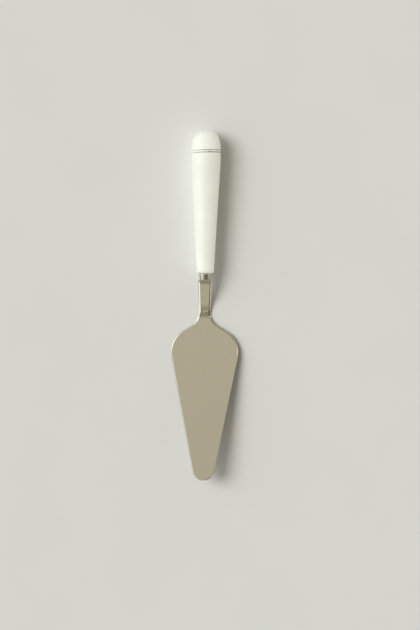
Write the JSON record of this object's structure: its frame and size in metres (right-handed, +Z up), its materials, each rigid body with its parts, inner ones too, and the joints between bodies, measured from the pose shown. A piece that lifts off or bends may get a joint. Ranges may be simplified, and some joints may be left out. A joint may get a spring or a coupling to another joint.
{
  "type": "cake server",
  "caption": "Serving spatula with a wedge-shaped stainless blade, cranked neck, beaded steel ferrule and domed, tapered white glazed ceramic handle.",
  "frame": {"origin": "centre of the bottom of the bounding box, on the surface that the server lies on", "axes": "+Y along the handle's axis towards its butt, with the blade's tip at -Y; +X across the blade; +Z up from the surface"},
  "size_m": [0.0504, 0.26, 0.0218],
  "materials": {
    "white_glaze": "glossy white glaze",
    "polished_collar": "mirror-polished steel",
    "polished_stainless": "polished stainless steel with fine polishing lines",
    "grey_cement": "set potting cement, matt"
  },
  "bodies": {
    "root": {"handle": "white_glaze", "ferrule": "polished_collar", "blade": "polished_stainless", "tang_cement": "grey_cement"}
  },
  "joints": []
}
